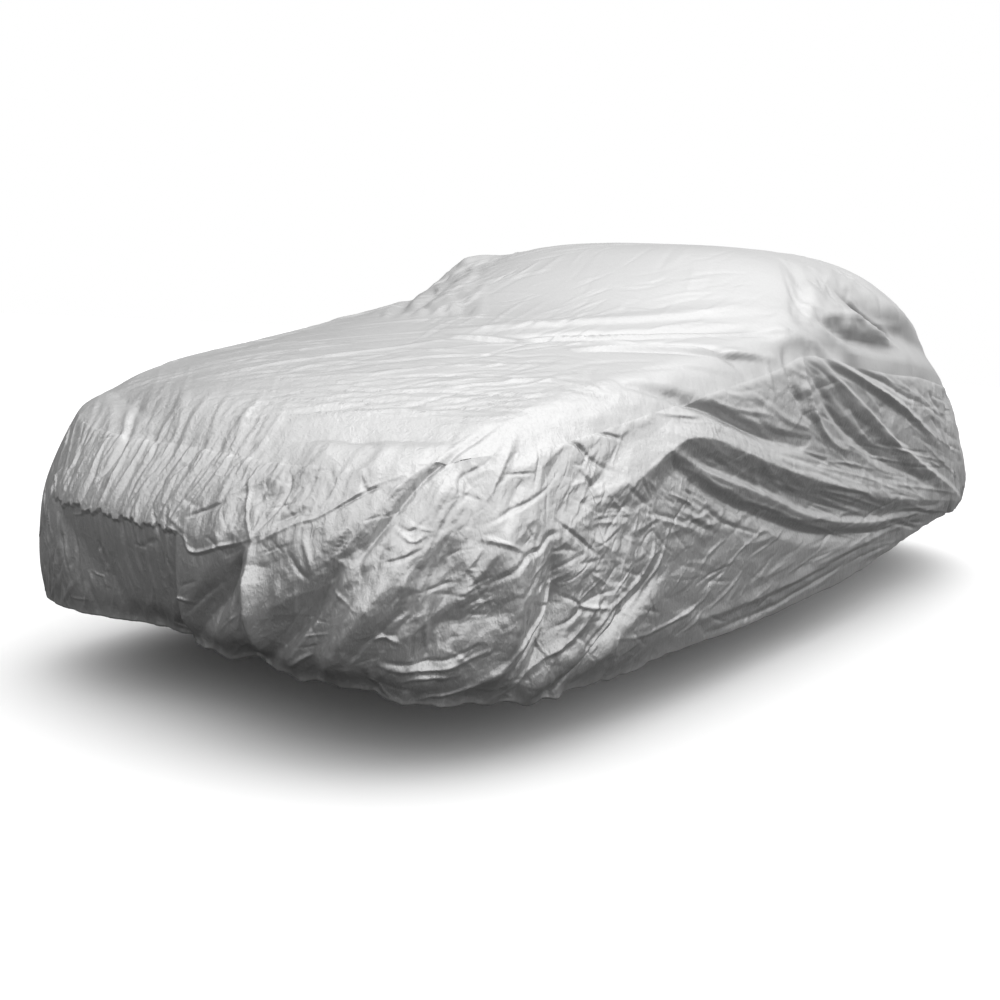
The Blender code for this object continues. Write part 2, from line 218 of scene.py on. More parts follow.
def make_skin(across, along_count, down_count, fine_run=0.0):
    """Points of the smooth form, and the number grids of the top and of the side.

    Up to fine_run metres from the front seam, the side has two columns for each one of the top, and between holds the
    places of the second ones in the ring of columns. half is the place of the rear seam.
    """
    even = np.linspace(0, 1, along_count + 1)
    shares = even * (FRONT_FINENESS + (1 - FRONT_FINENESS) * even)
    u, v = np.meshgrid(np.linspace(-1, 1, across + 1), 2 * shares - 1, indexing="ij")
    top_points = top_point(u, v)
    top_grid = np.arange(u.size).reshape(u.shape)
    rim = [(i, 0) for i in range(across // 2, across)] + [(across, j) for j in range(along_count)]
    rim += [(i, along_count) for i in range(across, 0, -1)] + [(0, j) for j in range(along_count, 0, -1)]
    rim += [(i, 0) for i in range(across // 2)]
    rim_i, rim_j = np.array(rim).T
    seam = top_points[rim_i, rim_j]
    lengths = np.linalg.norm(np.diff(seam[:, :2], axis=0, append=seam[:1, :2]), axis=1)
    start = np.concatenate([[0], np.cumsum(lengths)])
    from_front = np.minimum(start[:-1] + lengths / 2, start[-1] - start[:-1] - lengths / 2)
    places = [k + half for k in range(len(rim)) for half in ((0, 0.5) if from_front[k] < fine_run else (0,))]
    places = np.array(places, float)
    first, share = places.astype(int), places % 1
    second = (first + 1) % len(rim)
    rim_u, rim_v = (u[rim_i, rim_j], v[rim_i, rim_j])
    rim_u, rim_v = (r[first] * (1 - share) + r[second] * share for r in (rim_u, rim_v))
    down = np.linspace(0, 1, down_count + 1)
    side = side_point(rim_u[:, None] + 0 * down, rim_v[:, None] + 0 * down, down + 0 * rim_u[:, None])
    between = np.flatnonzero(share)
    side[between, 0] = (seam[first[between]] + seam[second[between]]) / 2
    side_grid = top_grid.size + np.arange(side.shape[0] * side.shape[1]).reshape(side.shape[:2])
    at_rim = np.flatnonzero(share == 0)
    side_grid[at_rim, 0] = top_grid[rim_i, rim_j]
    points = np.concatenate([top_points.reshape(-1, 3), side.reshape(-1, 3)])
    run = start[first] + lengths[first] * share
    half = int(np.flatnonzero(places == len(rim) // 2)[0])
    run = np.where(np.arange(len(run)) > half, run - start[-1], run)
    return Skin(points, top_grid, side_grid, run, down, rim_u, rim_v, between, half)


def quads(grid):
    return np.stack([grid[:-1, :-1], grid[1:, :-1], grid[1:, 1:], grid[:-1, 1:]], -1).reshape(-1, 4)


def all_quads(skin):
    ring = np.concatenate([skin.side, skin.side[:1]])
    return np.concatenate([quads(skin.top), quads(ring[::-1])])


def join_between(skin, values, rows=1):
    """Gives each in-between point of the seam the middle of its two neighbours' values, and less so over more rows."""
    own, before, after = (skin.side[(skin.between + k) % len(skin.side), :rows] for k in (0, -1, 1))
    share = eased(np.arange(rows) / rows).reshape(-1, *[1] * (values.ndim - 1))
    values[own] = share * values[own] + (1 - share) * (values[before] + values[after]) / 2


def unit(vectors):
    return vectors / np.maximum(np.linalg.norm(vectors, axis=-1, keepdims=True), 1e-12)


def normals_of(points, skin, faces):
    """The normal of each point, from the diagonals of the faces around it."""
    face = np.cross(points[faces[:, 2]] - points[faces[:, 0]], points[faces[:, 3]] - points[faces[:, 1]])
    total = unit(np.stack([
        sum(np.bincount(faces[:, k], face[:, axis], len(points)) for k in range(4)) for axis in range(3)
    ], -1))
    join_between(skin, total)
    return unit(total)


def rings_of(grid):
    """For each point of a grid, how many rings of points lie between it and the outside."""
    i, j = np.indices(grid.shape)
    return np.minimum(np.minimum(i, len(grid) - 1 - i), np.minimum(j, len(grid[0]) - 1 - j))


skin = make_skin(ACROSS, ALONG, DOWN, FINE_RUN)
skin_faces = all_quads(skin)
print(f"skin of {len(skin.points)} points, seam ring {2 * skin.run.max():.2f} m")

# %% [markdown]
# The top and the side meet at a slight kink, which a real seam doesn't keep under tension. Points near the seam are
# moved a little towards the middle of their neighbours, again and again, but only square to the cloth, so the grid
# stays even.

# %% Round the kink at the seam
RELAX_ROWS, RELAX_RINGS, RELAX_TIMES, RELAX_SHARE = 24, 10, 60, 0.9


def relaxed(skin, faces):
    """The skin's points with the kink along the seam rounded."""
    points, normals = skin.points.copy(), normals_of(skin.points, skin, faces)
    last_i, last_j = skin.top.shape[0] - 1, skin.top.shape[1] - 1
    rows = skin.side[:, :RELAX_ROWS + 1]
    left, right = np.roll(rows, 1, 0), np.roll(rows, -1, 0)
    ring = rings_of(skin.top)
    i, j = np.nonzero((ring >= 1) & (ring < RELAX_RINGS))
    on_rim = np.flatnonzero(rows[:, 0] < skin.top.size)
    rim_i, rim_j = np.divmod(rows[on_rim, 0], last_j + 1)
    inward_j = np.where(rim_i % last_i == 0, rim_j, np.clip(rim_j, 1, last_j - 1))
    inward = skin.top[np.clip(rim_i, 1, last_i - 1), inward_j]
    parts = [
        (rows[:, 1:-1], 1 - np.arange(1, RELAX_ROWS) / RELAX_ROWS,
         [left[:, 1:-1], right[:, 1:-1], rows[:, :-2], rows[:, 2:]]),
        (skin.top[i, j], 1 - ring[i, j] / RELAX_RINGS,
         [skin.top[i - 1, j], skin.top[i + 1, j], skin.top[i, j - 1], skin.top[i, j + 1]]),
        (rows[on_rim, 0], 1, [left[on_rim, 0], right[on_rim, 0], rows[on_rim, 1], inward]),
    ]
    centre = np.concatenate([part.ravel() for part, _, _ in parts])
    weight = np.concatenate([np.broadcast_to(share, part.shape).ravel() for part, share, _ in parts])
    around = np.concatenate([np.stack(four, -1).reshape(-1, 4) for _, _, four in parts])
    square = normals[centre]
    for _ in range(RELAX_TIMES):
        pull = points[around].mean(1) - points[centre]
        points[centre] += square * (RELAX_SHARE * weight * np.einsum("ij,ij->i", pull, square))[:, None]
        join_between(skin, points)
    return points


base = relaxed(skin, skin_faces)
base_normals = normals_of(base, skin, skin_faces)
print(f"the seam moved by up to {np.linalg.norm(base - skin.points, axis=1).max() * 1000:.0f} mm")

# %% [markdown]
# ## The camera's place
#
# The folds that show are easiest to read off the photograph, so the camera comes first. It stands low off the near
# front corner, and is turned a little about its own axis. With it, a place in the picture becomes a place on the
# cloth: a ray goes out through the picture and meets the smooth form.

# %% Camera
CAMERA_PLACE = np.array([2.403, -4.532, 1.127])
CAMERA_YAW, CAMERA_PITCH, CAMERA_ROLL = np.radians([33.98, 8.59, 4.08])
FOCAL_PIXELS = 1257.4
PICTURE = 1000

ahead = np.array([
    -np.sin(CAMERA_YAW) * np.cos(CAMERA_PITCH), np.cos(CAMERA_YAW) * np.cos(CAMERA_PITCH), -np.sin(CAMERA_PITCH)
])
level = np.array([np.cos(CAMERA_YAW), np.sin(CAMERA_YAW), 0])
upward = np.cross(level, ahead)
right = np.cos(CAMERA_ROLL) * level + np.sin(CAMERA_ROLL) * upward
upright = np.cos(CAMERA_ROLL) * upward - np.sin(CAMERA_ROLL) * level

camera_data = bpy.data.cameras.new("camera")
camera_data.lens = FOCAL_PIXELS * camera_data.sensor_width / PICTURE
camera = bpy.data.objects.new("camera", camera_data)
bpy.context.scene.collection.objects.link(camera)
place = CAMERA_PLACE - HOLD
camera.matrix_world = Matrix([[right[k], upright[k], -ahead[k], place[k]] for k in range(3)] + [[0, 0, 0, 1]])
bpy.context.scene.camera = camera
print("lens", round(camera_data.lens, 1), "mm")

# %% [markdown]
# ## From a reading to a line on the cloth
#
# A fold is read as a few points of its path, in one of three ways: in the picture, along and down a side panel, or in
# plan on the top. A smooth curve goes through the points and each of its samples is carried onto the form. A coarse
# copy of the form is enough to catch the rays.

# %% Paths on the form
COARSE = (60, 120, 24)
ABOVE = 3.0
coarse = make_skin(*COARSE)
catcher = BVHTree.FromPolygons(coarse.points.tolist(), all_quads(coarse).tolist())


def smooth_path(path, samples):
    """A curve through the points of a path, with this many samples from each point to the next."""
    p = np.array(path, float)
    p = np.concatenate([2 * p[:1] - p[1:2], p, 2 * p[-1:] - p[-2:-1]])
    f = np.linspace(0, 1, samples, endpoint=False)[:, None]
    parts = [
        0.5 * (2 * b + (c - a) * f + (2 * a - 5 * b + 4 * c - d) * f**2 + (3 * b - a - 3 * c + d) * f**3)
        for a, b, c, d in zip(p, p[1:], p[2:], p[3:])
    ]
    return np.concatenate(parts + [p[-2:-1]])


def in_picture(places):
    """Points of the form seen at these places of the picture, in pixels from its top left. A miss is left out."""
    found = []
    for x, y in places:
        way = ahead + right * (x - PICTURE / 2) / FOCAL_PIXELS - upright * (y - PICTURE / 2) / FOCAL_PIXELS
        found.append(catcher.ray_cast(Vector(CAMERA_PLACE), Vector(way))[0])
    return np.array([hit for hit in found if hit is not None])


def on_side(places):
    """Points of the form for (metres along the seam from the front, share of the way down)."""
    order = np.argsort(skin.run)
    u = np.interp(places[:, 0], skin.run[order], skin.rim_u[order])
    v = np.interp(places[:, 0], skin.run[order], skin.rim_v[order])
    return side_point(u, v, np.clip(places[:, 1], 0, 1))


def on_top(places):
    """Points of the form over (x, y) in metres."""
    hits = [catcher.ray_cast(Vector((x, y, ABOVE)), Vector((0, 0, -1)))[0] for x, y in places]
    return np.array([hit for hit in hits if hit is not None])


# %% [markdown]
# ## Laying a fold
#
# A fold raises or sinks the cloth on both sides of its line, by a height that fades at its ends. Its two flanks have
# widths of their own, because a hanging fold has a long upper flank and a short steep one under it, and that is what
# makes a bright face beside a dark one. A soft fold has a round back and a crisp one comes to an edge, as coated
# cloth does where it was folded in its bag.

# %% Blocks of neighbouring points, so that a fold is only tried on the cloth near it
BLOCK_SIZE, BLOCK_POINTS = 0.12, 500
cell = np.floor(base / BLOCK_SIZE).astype(int)
blocks = np.array_split(np.lexsort(cell.T), len(base) // BLOCK_POINTS)
block_low = np.array([base[block].min(0) for block in blocks])
block_high = np.array([base[block].max(0) for block in blocks])


def points_within(low, high):
    """Numbers of the skin's points in a box."""
    hit = np.flatnonzero(((block_high > low) & (block_low < high)).all(1))
    if not len(hit):
        return hit
    near = np.concatenate([blocks[k] for k in hit])
    return near[((base[near] > low) & (base[near] < high)).all(1)]


# %% The fold function
END_SHARE, FADE_POWER, CRISP_POWER = 0.04, 0.7, 1.5

Line = namedtuple("Line", "points height left right crisp")


def lift_of(line, points, normals, lift):
    """Adds one fold to the lift of the points near it. Left and right are as seen from outside, along the line."""
    reach = max(line.left, line.right)
    near = points_within(line.points.min(0) - reach, line.points.max(0) + reach)
    if not len(near):
        return
    place = points[near]
    best = np.full(len(near), np.inf)
    where = np.zeros(len(near))
    offset = np.zeros((len(near), 3))
    direction = np.zeros((len(near), 3))
    stretches = len(line.points) - 1
    for k in range(stretches):
        start, way = line.points[k], line.points[k + 1] - line.points[k]
        square = way @ way
        if square < 1e-12:
            continue
        f = np.clip((place - start) @ way / square, 0, 1)
        away = place - start - f[:, None] * way
        distance = np.einsum("ij,ij->i", away, away)
        better = distance < best
        best[better], where[better] = distance[better], (k + f[better]) / stretches
        offset[better], direction[better] = away[better], way
    side = np.einsum("ij,ij->i", np.cross(direction, offset), normals[near])
    width = np.where(side > 0, line.left, line.right)
    near_line = np.clip(1 - np.sqrt(best) / width, 0, 1)
    shape = (1 - line.crisp) * eased(near_line) + line.crisp * near_line**CRISP_POWER
    fade = np.sin(np.pi * (END_SHARE + (1 - 2 * END_SHARE) * where)) ** FADE_POWER
    lift[near] += line.height * fade * shape


def lines_of(rows, carry, crisp, samples=12):
    """Lines on the form for the rows of one table: height, left and right flank, and the places on the path."""
    lines = []
    for height, left, right_flank, *places in rows:
        path = carry(smooth_path(np.reshape(places, (-1, 2)), samples))
        if len(path) > 1:
            lines.append(Line(path, height, left, right_flank, crisp))
    return lines


def mirrored(lines, back, strength):
    """The same folds on the other side, some way further back. Left and right change places in a mirror."""
    return [Line(l.points * [-1, 1, 1] + [0, back, 0], l.height * strength, l.right, l.left, l.crisp) for l in lines]


# %% Main folds: height, left and right flank, and three places, in x and y on the top and as seam and depth on a side
TOP_FOLDS = [
    (-0.022, 0.060, 0.045, 0.25, -1.50, 0.55, -1.10, 0.80, -0.62),
    (0.012, 0.080, 0.050, 0.12, -1.42, 0.43, -1.00, 0.68, -0.55),
    (-0.020, 0.050, 0.040, 0.57, -1.25, 0.70, -1.10, 0.84, -0.92),
    (-0.020, 0.050, 0.050, -0.30, -1.20, -0.52, -0.92, -0.80, -0.50),
    (-0.052, 0.140, 0.140, 0.72, 0.05, 0.79, 0.80, 0.72, 1.55),
    (-0.052, 0.140, 0.140, -0.72, 0.05, -0.79, 0.80, -0.72, 1.55),
    (-0.016, 0.060, 0.060, 0.80, -0.42, 0.68, -0.15, 0.55, 0.05),
    (-0.020, 0.100, 0.100, -0.55, 1.78, 0.00, 1.92, 0.55, 1.78),
    (-0.024, 0.260, 0.200, -0.62, -1.80, -0.64, -1.40, -0.64, -0.90),
    (-0.040, 0.180, 0.180, 0.66, 1.45, 0.70, 1.80, 0.62, 2.12),
]
CORNER_FOLDS = [
    (-0.016, 0.040, 0.060, 0.72, 0.00, 0.60, 0.24, 0.50, 0.42),
    (-0.055, 0.045, 0.080, 0.50, 0.40, 0.43, 0.68, 0.30, 1.00),
    (0.040, 0.080, 0.050, 0.62, 0.38, 0.54, 0.68, 0.47, 1.00),
    (0.036, 0.060, 0.060, 0.33, 0.48, 0.33, 0.70, 0.33, 0.95),
    (-0.036, 0.050, 0.070, 0.28, 0.40, 0.22, 0.64, 0.08, 0.96),
    (-0.030, 0.050, 0.070, 0.72, 0.30, 0.70, 0.62, 0.64, 0.97),
    (0.036, 0.080, 0.080, 0.82, 0.25, 0.86, 0.62, 0.80, 0.98),
    (-0.040, 0.050, 0.070, 0.98, 0.40, 0.99, 0.62, 0.91, 0.98),
    (-0.018, 0.050, 0.070, 1.44, 0.60, 1.22, 0.76, 1.02, 0.99),
    (0.014, 0.045, 0.070, 1.38, 0.52, 1.14, 0.76, 0.98, 0.96),
]
FRONT_LEFT_FOLDS = [
    (0.020, 0.070, 0.070, -0.92, 0.15, -0.86, 0.50, -0.84, 0.95),
    (-0.024, 0.070, 0.070, -1.05, 0.10, -1.00, 0.50, -0.98, 0.95),
]
REAR_FOLDS = [
    (-0.026, 0.090, 0.070, 5.05, 0.10, 5.10, 0.50, 5.16, 0.98),
    (0.020, 0.070, 0.080, 5.30, 0.20, 5.34, 0.60, 5.33, 0.98),
    (-0.022, 0.090, 0.070, 5.55, 0.12, 5.52, 0.50, 5.56, 0.98),
]

BESIDE_CORNER = 6
corner = lines_of(CORNER_FOLDS, on_side, crisp=0.5)
rear = lines_of(REAR_FOLDS, on_side, crisp=0.3)
main_lines = corner + rear
main_lines += lines_of(FRONT_LEFT_FOLDS, on_side, crisp=0.3) + lines_of(TOP_FOLDS, on_top, crisp=0.2)
main_lines += mirrored(corner[BESIDE_CORNER:], back=0.25, strength=0.7) + mirrored(rear, back=0, strength=1)
print(len(main_lines), "main folds")

# %% [markdown]
# ## Creases read off the picture
#
# Between the main folds lie the sharp ones that give this cloth its look. Each row is one crease in the picture: its
# height in millimetres, below zero for a groove, the widths of its left and right flanks in pixels, and then its
# path, as the x and y of one place after the other. A pixel is turned into metres by how far off the cloth is there.

# %% Creases that the camera sees
SWOOPS = [
    (37, 30, 26, 622, 488, 640, 472, 662, 452, 678, 441, 699, 439, 726, 448, 761, 463, 801, 477, 841, 488, 882, 497,
     914, 499, 959, 500),
    (16, 8, 18, 662, 452, 683, 461, 710, 475, 742, 488, 774, 501, 801, 514, 833, 521, 868, 522, 908, 515, 940, 506),
    (-16, 10, 16, 662, 459, 689, 477, 715, 496, 748, 512, 788, 527, 815, 534, 855, 534, 890, 528),
    (-28, 14, 11, 625, 384, 652, 390, 680, 398, 709, 410, 734, 423, 753, 433, 774, 441, 801, 447),
    (26, 9, 17, 806, 345, 821, 364, 837, 383, 856, 403, 872, 420, 888, 438, 906, 454, 925, 469, 943, 483, 960, 499),
    (22, 9, 8, 806, 340, 827, 358, 849, 373, 868, 385, 886, 397, 902, 409, 915, 420, 935, 440),
    (-18, 12, 12, 808, 358, 818, 385, 831, 409, 845, 428, 862, 444, 882, 460, 902, 471, 927, 481),
    (16, 9, 8, 803, 364, 808, 391, 813, 411, 821, 430, 833, 444, 847, 452),
    (-12, 6, 6, 811, 338, 829, 348, 847, 360, 866, 373, 886, 383, 907, 397, 923, 404),
    (-16, 10, 12, 787, 352, 790, 372, 798, 396, 808, 418),
    (16, 22, 16, 770, 342, 790, 338, 806, 338, 824, 346),
]
SIDE_CREASES = [
    (-7, 5, 7, 675, 480, 699, 504, 726, 523, 745, 534),
    (8, 5, 9, 769, 360, 771, 378, 775, 398),
    (6, 5, 8, 806, 384, 812, 410, 817, 432, 828, 462),
    (-9, 5, 9, 748, 408, 769, 429, 790, 436, 812, 440),
    (9, 9, 5, 775, 412, 795, 424, 812, 428),
    (-6, 4, 5, 707, 396, 731, 418, 764, 437),
    (-5, 4, 4, 680, 370, 710, 374, 736, 379),
    (-6, 4, 4, 748, 362, 768, 352, 784, 358),
    (-14, 10, 10, 654, 577, 627, 609, 587, 649, 565, 678),
    (9, 4, 6, 652, 512, 651, 548, 635, 579, 605, 605, 580, 640),
    (9, 6, 4, 668, 522, 659, 560, 640, 595, 612, 628),
    (5, 3, 4, 718, 568, 705, 598, 678, 619, 640, 635, 614, 638),
    (5, 3, 4, 748, 563, 726, 592, 708, 610),
    (9, 12, 6, 690, 624, 748, 601, 801, 577, 855, 547, 920, 517),
    (-7, 5, 5, 705, 634, 761, 612, 801, 590, 850, 561),
    (-6, 4, 5, 563, 434, 579, 446, 592, 470),
    (-7, 4, 4, 579, 472, 592, 490, 600, 539),
    (-6, 5, 5, 620, 488, 648, 508),
    (-6, 4, 4, 578, 427, 599, 431, 620, 438),
    (6, 4, 4, 752, 540, 764, 530, 776, 537),
]
CORNER_CREASES = [
    (-13, 6, 7, 495, 427, 476, 440, 448, 458, 413, 493, 377, 540, 363, 562, 366, 581),
    (8, 10, 5, 470, 436, 432, 462, 403, 484, 382, 507, 356, 541, 344, 558),
    (-5, 3, 4, 432, 465, 467, 455),
    (-8, 5, 5, 510, 427, 500, 444, 488, 463, 462, 478, 457, 500, 443, 522, 428, 552),
    (7, 6, 5, 520, 430, 510, 450, 497, 475, 482, 500, 468, 530),
    (-6, 2, 3, 502, 475, 531, 474),
    (-8, 4, 4, 543, 437, 538, 458, 531, 488),
    (-9, 4, 5, 543, 490, 524, 503, 505, 512, 480, 526),
    (-9, 9, 7, 520, 480, 512, 495, 503, 512),
    (8, 3, 5, 476, 538, 498, 544, 518, 552),
    (7, 4, 4, 483, 538, 462, 569, 448, 590),
    (-11, 5, 6, 553, 533, 543, 537, 533, 550, 517, 556, 500, 571, 484, 582),
    (-9, 4, 5, 551, 520, 576, 540, 592, 555),
    (14, 14, 6, 553, 528, 552, 560, 549, 590, 541, 612, 521, 637, 486, 673, 468, 688),
    (-13, 6, 12, 557, 590, 549, 618, 530, 643, 508, 672, 494, 700),
    (12, 8, 8, 592, 600, 572, 630, 545, 655, 520, 682, 500, 704),
    (-10, 5, 7, 552, 427, 567, 437, 580, 446, 594, 462, 612, 472),
    (-7, 3, 4, 578, 427, 599, 431, 622, 439),
    (-6, 4, 4, 582, 474, 590, 491, 597, 522, 599, 545),
    (-6, 2, 3, 458, 562, 472, 586, 486, 609),
    (-7, 3, 4, 424, 590, 439, 585, 456, 580),
    (-11, 4, 4, 418, 568, 412, 616, 410, 656),
    (10, 5, 5, 424, 600, 425, 628, 427, 650),
    (9, 5, 5, 407, 560, 402, 590, 397, 603),
    (-13, 6, 8, 407, 606, 387, 623, 368, 642, 348, 662),
    (9, 4, 4, 400, 641, 379, 634, 354, 661),
    (-20, 12, 14, 345, 562, 330, 588, 314, 614, 297, 634, 272, 655),
    (-12, 10, 10, 336, 590, 322, 622, 305, 650),
    (44, 14, 46, 338, 556, 320, 590, 302, 614, 284, 634, 260, 652),
    (13, 10, 6, 366, 590, 352, 612, 338, 640, 330, 668),
    (12, 12, 10, 290, 572, 287, 600, 280, 632),
    (28, 10, 32, 265, 543, 265, 588, 268, 650),
    (6, 3, 3, 305, 584, 299, 618),
    (-12, 6, 6, 265, 543, 243, 568, 231, 590, 220, 617, 217, 646),
    (10, 5, 6, 250, 570, 240, 598, 238, 640),
    (-8, 4, 8, 228, 580, 210, 595, 193, 611),
    (7, 3, 3, 176, 593, 198, 600),
    (9, 4, 3, 265, 541, 255, 517, 253, 489, 259, 467),
    (-9, 3, 4, 267, 536, 283, 511, 291, 487, 290, 474),
    (9, 4, 3, 196, 534, 206, 552, 238, 546, 262, 541),
    (-7, 4, 4, 198, 519, 218, 511, 234, 504),
    (-10, 6, 6, 283, 526, 297, 519, 312, 510),
    (-9, 6, 6, 362, 480, 370, 492, 385, 482),
    (7, 3, 4, 267, 545, 305, 525, 327, 517, 375, 487, 407, 475),
    (-8, 3, 4, 327, 519, 352, 503, 372, 491),
    (-9, 5, 5, 300, 555, 308, 570, 314, 577),
    (9, 5, 5, 312, 540, 318, 560, 320, 572),
    (-6, 4, 4, 318, 472, 337, 465, 347, 458),
    (-9, 5, 5, 348, 443, 363, 441, 378, 446),
    (-6, 3, 4, 395, 524, 410, 532, 425, 520),
    (7, 4, 3, 396, 531, 411, 542, 424, 535),
    (-7, 3, 4, 384, 563, 402, 558, 420, 549),
    (9, 5, 4, 380, 664, 415, 670, 455, 663, 488, 645),
    (-7, 4, 4, 384, 659, 415, 663, 450, 656, 478, 642),
    (6, 4, 3, 400, 680, 430, 677, 458, 674),
    (8, 4, 4, 420, 702, 453, 694, 474, 684),
    (8, 3, 3, 369, 679, 378, 688, 388, 699),
    (10, 5, 4, 288, 664, 302, 657, 316, 652),
    (-10, 4, 5, 621, 608, 599, 637, 580, 659, 561, 690),
    (9, 6, 5, 610, 605, 585, 640, 566, 672),
    (8, 4, 4, 571, 604, 585, 606, 602, 606),
    (-7, 4, 4, 558, 594, 574, 607, 550, 631),
]
FRONT_CREASES = [
    (-8, 4, 5, 139, 431, 154, 436, 155, 455, 144, 480, 138, 509),
    (-7, 4, 4, 174, 431, 171, 448, 162, 465, 150, 486, 140, 508),
    (-8, 4, 4, 205, 440, 194, 457, 178, 476, 158, 502),
    (-8, 4, 5, 231, 435, 214, 455, 199, 480, 185, 514),
    (9, 5, 6, 240, 437, 218, 464, 203, 489, 189, 513, 182, 528),
    (-6, 3, 4, 291, 421, 265, 437, 243, 451, 228, 466),
    (5, 3, 3, 136, 517, 136, 530, 134, 543),
    (5, 3, 3, 137, 552, 139, 568, 141, 583),
    (5, 3, 3, 105, 540, 107, 554, 105, 571),
    (6, 3, 3, 186, 635, 192, 646),
    (5, 3, 3, 155, 625, 165, 632, 172, 638),
]
TOP_CREASES = [
    (19, 18, 5, 455, 337, 532, 340, 616, 338, 701, 335, 785, 331),
    (20, 14, 5, 575, 350, 616, 350, 680, 352, 740, 355, 775, 359),
    (-5, 4, 4, 645, 369, 687, 368, 729, 375, 742, 379),
    (-8, 4, 4, 568, 389, 594, 394, 622, 401),
    (5, 8, 8, 200, 378, 242, 370, 285, 362, 341, 354, 397, 347, 453, 338),
    (-4, 4, 4, 380, 405, 440, 408, 500, 411, 550, 412),
    (-4, 4, 4, 370, 394, 440, 392, 520, 397, 600, 398),
    (-4, 4, 4, 330, 385, 400, 377, 470, 375, 540, 381),
    (4, 4, 4, 350, 378, 420, 368, 490, 364, 560, 366),
    (-4, 4, 4, 340, 370, 420, 358, 480, 355, 530, 357),
    (-5, 4, 5, 794, 300, 793, 309, 794, 318),
    (-6, 4, 4, 782, 265, 790, 288, 798, 303),
    (-5, 3, 4, 808, 278, 821, 286),
    (-6, 4, 4, 813, 258, 831, 269),
    (-28, 9, 4, 844, 292, 856, 299, 868, 308, 882, 320, 895, 330, 908, 346),
    (-34, 20, 6, 824, 324, 850, 340, 878, 350, 906, 354),
    (12, 6, 9, 820, 316, 842, 314, 860, 317, 884, 334, 908, 350),
    (10, 8, 7, 835, 302, 848, 309, 868, 325, 882, 333, 896, 341),
    (-9, 6, 6, 928, 391, 934, 402, 940, 411),
    (-7, 4, 4, 909, 369, 914, 376),
]


def pixel_at(place):
    """How wide a pixel is at this place, in metres."""
    return np.dot(place - CAMERA_PLACE, ahead) / FOCAL_PIXELS


def picture_lines(rows, crisp, strength=1.0):
    """Lines on the form for creases in the picture, with their sizes turned into metres."""
    lines = []
    for line in lines_of(rows, in_picture, crisp, 7):
        pixel = pixel_at(line.points[len(line.points) // 2])
        sizes = {"height": strength * line.height / 1000, "left": line.left * pixel, "right": line.right * pixel}
        lines.append(line._replace(**sizes))
    return lines


swoops = picture_lines(SWOOPS, crisp=0.6)
seen = swoops + mirrored(swoops, back=0.10, strength=0.8) + picture_lines(SIDE_CREASES, crisp=0.6, strength=0.7)
seen += picture_lines(CORNER_CREASES, crisp=0.8, strength=0.75)
seen += picture_lines(FRONT_CREASES, crisp=0.6, strength=0.6) + picture_lines(TOP_CREASES, crisp=0.3)
print(len(seen), "creases read off the picture")

# %% [markdown]
# ## Small folds by the hundred
#
# No one would place the small wrinkles one by one. Each row of the next table is a patch of cloth with so many of
# them: how they lie, how long and wide they are and how high they stand. Where the camera sees the cloth, a patch is
# stated in the picture, where its wrinkles' angle is plain to read, and elsewhere on the panel itself. The random
# numbers are seeded, so each run gives the same cloth.

# %% Patches of wrinkles that the camera sees
Patch = namedtuple("Patch", "a0 a1 b0 b1 count angle spread length width height turn", defaults=[0])
PICTURE_PATCHES = [
    Patch(60, 270, 408, 492, 85, 104, 3, 78, 4.6, 0.0036, 20),
    Patch(230, 340, 430, 500, 30, 125, 15, 40, 3.4, 0.0020),
    Patch(55, 180, 515, 640, 90, 92, 6, 34, 3.4, 0.0036),
    Patch(36, 72, 425, 600, 60, 96, 12, 34, 2.8, 0.0044),
    Patch(180, 340, 500, 655, 60, 112, 45, 26, 3.2, 0.0017),
    Patch(330, 480, 465, 620, 80, 118, 38, 28, 3.2, 0.0017),
    Patch(440, 620, 425, 505, 60, 114, 14, 40, 3.4, 0.0018),
    Patch(470, 640, 500, 660, 100, 122, 40, 26, 3.2, 0.0017),
    Patch(250, 560, 630, 705, 50, 165, 35, 26, 3.2, 0.0017),
    Patch(560, 760, 380, 435, 60, 16, 12, 40, 4.0, 0.0022),
    Patch(640, 770, 456, 525, 60, 50, 12, 26, 3.2, 0.0018),
    Patch(580, 770, 480, 625, 70, 126, 18, 34, 4.0, 0.0022),
    Patch(580, 770, 480, 625, 50, 40, 18, 26, 4.0, 0.0020),
    Patch(750, 955, 370, 500, 90, 42, 10, 44, 4.0, 0.0022),
    Patch(740, 910, 505, 600, 50, 155, 10, 40, 4.0, 0.0018),
    Patch(670, 930, 445, 535, 90, 24, 5, 60, 3.0, 0.0026, -14),
    Patch(250, 620, 345, 422, 130, 177, 3, 120, 4.0, 0.0024),
    Patch(430, 740, 270, 345, 90, 154, 6, 52, 3.6, 0.0021, 20),
    Patch(560, 790, 250, 330, 50, 145, 20, 34, 4.0, 0.0013),
    Patch(780, 900, 250, 350, 70, 42, 25, 24, 4.0, 0.0030),
    Patch(880, 960, 350, 480, 50, 58, 25, 24, 4.0, 0.0026),
]

# How far the wrinkles of a patch may differ from its row, as shares of it
LENGTHS, HEIGHTS, WIDTHS, FLANKS = (0.5, 1.4), (0.4, 1.6), (0.6, 1.6), (0.6, 1.3)
PICTURE_BOW, PANEL_BOW = 0.15, 0.20

Wrinkle = namedtuple("Wrinkle", "at way half bow height left right")


